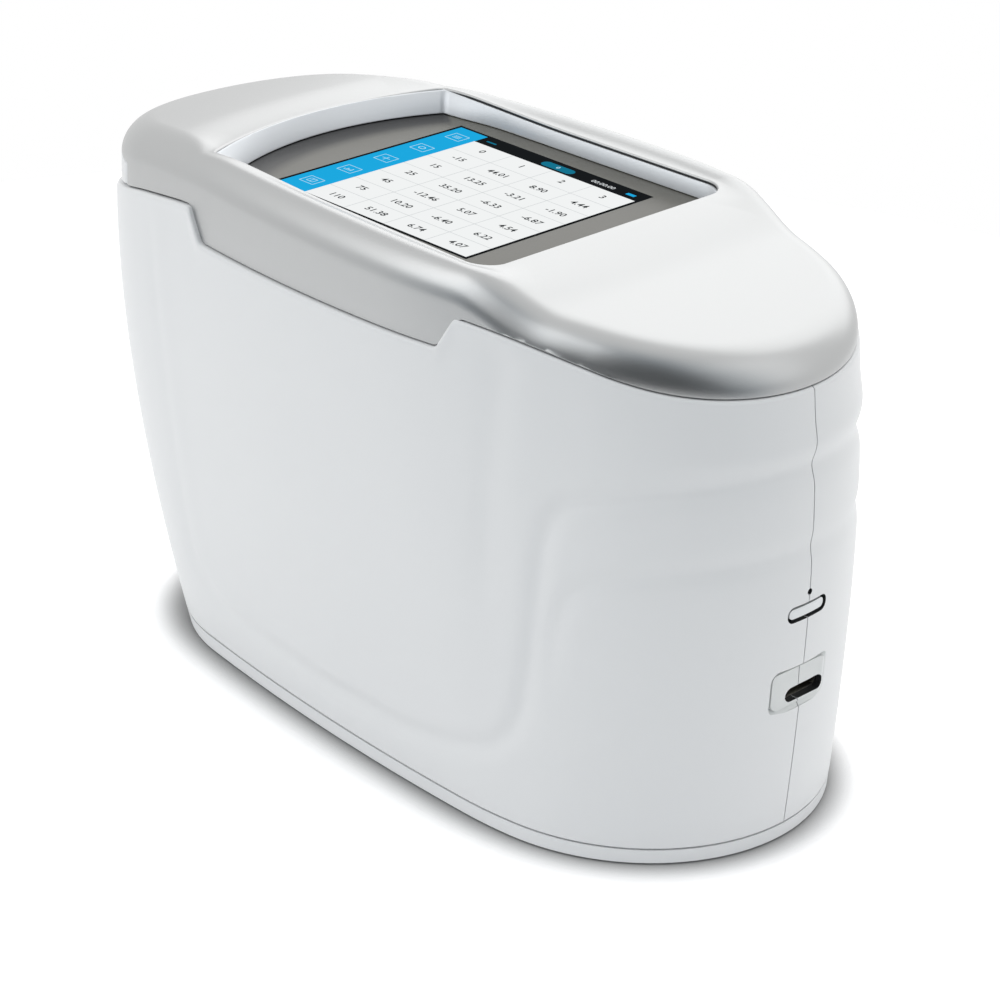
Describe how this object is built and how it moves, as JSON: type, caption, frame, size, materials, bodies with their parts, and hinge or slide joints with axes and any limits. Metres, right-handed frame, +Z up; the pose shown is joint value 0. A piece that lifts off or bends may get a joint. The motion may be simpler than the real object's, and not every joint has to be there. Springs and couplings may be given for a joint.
{
  "type": "multi-angle spectrophotometer",
  "caption": "Multi-angle colour measuring instrument: leaning rounded housing, silver cover with a sunk touch display, aperture underneath, inner optics arch.",
  "frame": {"origin": "on the standing surface, under the middle of the housing's box", "axes": "+Z up; +X towards the end with the power key and the socket; -Y is the near long side"},
  "size_m": [0.2114, 0.102, 0.13],
  "materials": {
    "white_shell": "fine moulded texture",
    "silver_cover": "satin silver paint on a moulding",
    "key_white": "satin",
    "trim_bright": "polished",
    "lens_glass": "clear, smoked border",
    "display": "dark panel",
    "black_plastic": "fine texture",
    "grey_plastic": "fine texture",
    "rubber": "matt",
    "black_anodised": "black anodised",
    "aluminium": "machined",
    "sheet_metal": "bent sheet",
    "optic_glass": "clear",
    "fibre": "jacketed",
    "board": "solder resist",
    "battery": "shrink sleeve",
    "steel": "plated"
  },
  "bodies": {
    "housing": {"top_cover": "silver_cover", "near_shell": "white_shell", "far_shell": "white_shell", "base_plate": "white_shell", "foot_pads": "rubber", "aperture_ring": "black_anodised", "aperture_window": "optic_glass", "optics_arch": "black_anodised", "receiver_tubes": "aluminium", "receiver_lenses": "optic_glass", "lamp_holder": "aluminium", "lamp_lens": "optic_glass", "lamp_unit": "steel", "fibre_bundle": "fibre", "fibre_ferrule": "aluminium", "optics_frame": "sheet_metal", "spectrograph_case": "black_anodised", "spectrograph_lid": "black_anodised", "grating": "optic_glass", "sensor_board": "board", "battery_holder": "grey_plastic", "battery_cells": "battery", "battery_cap": "grey_plastic", "display_window": "lens_glass", "display_panel": "display", "display_trim": "trim_bright", "display_tray": "grey_plastic", "main_board": "board", "io_board": "board", "data_socket": "steel", "power_switch": "black_plastic", "reset_switch": "black_plastic", "measure_bracket": "sheet_metal", "measure_switch": "black_plastic", "base_screws": "steel", "cover_screws": "steel", "arch_screws": "steel", "frame_screws": "steel", "ring_screws": "steel", "holder_screws": "steel", "lid_screws": "steel", "tray_screws": "steel", "board_screws": "steel", "bracket_screws": "steel"},
    "power_key": {"power_key": "key_white", "power_plunger": "black_plastic"},
    "reset_plunger": {"reset_plunger": "black_plastic"},
    "measure_key": {"measure_key": "key_white", "measure_plunger": "black_plastic"}
  },
  "joints": [
    {"name": "power_press", "type": "slide", "parent": "housing", "child": "power_key", "axis": [-1, 0, 0], "range_m": [0, 0.0005], "stiffness_N_per_m": 1500},
    {"name": "reset_press", "type": "slide", "parent": "housing", "child": "reset_plunger", "axis": [-1, 0, 0], "range_m": [0, 0.00025], "stiffness_N_per_m": 1500},
    {"name": "measure_press", "type": "slide", "parent": "housing", "child": "measure_key", "axis": [1, 0, 0], "range_m": [0, 0.001], "stiffness_N_per_m": 1200}
  ]
}
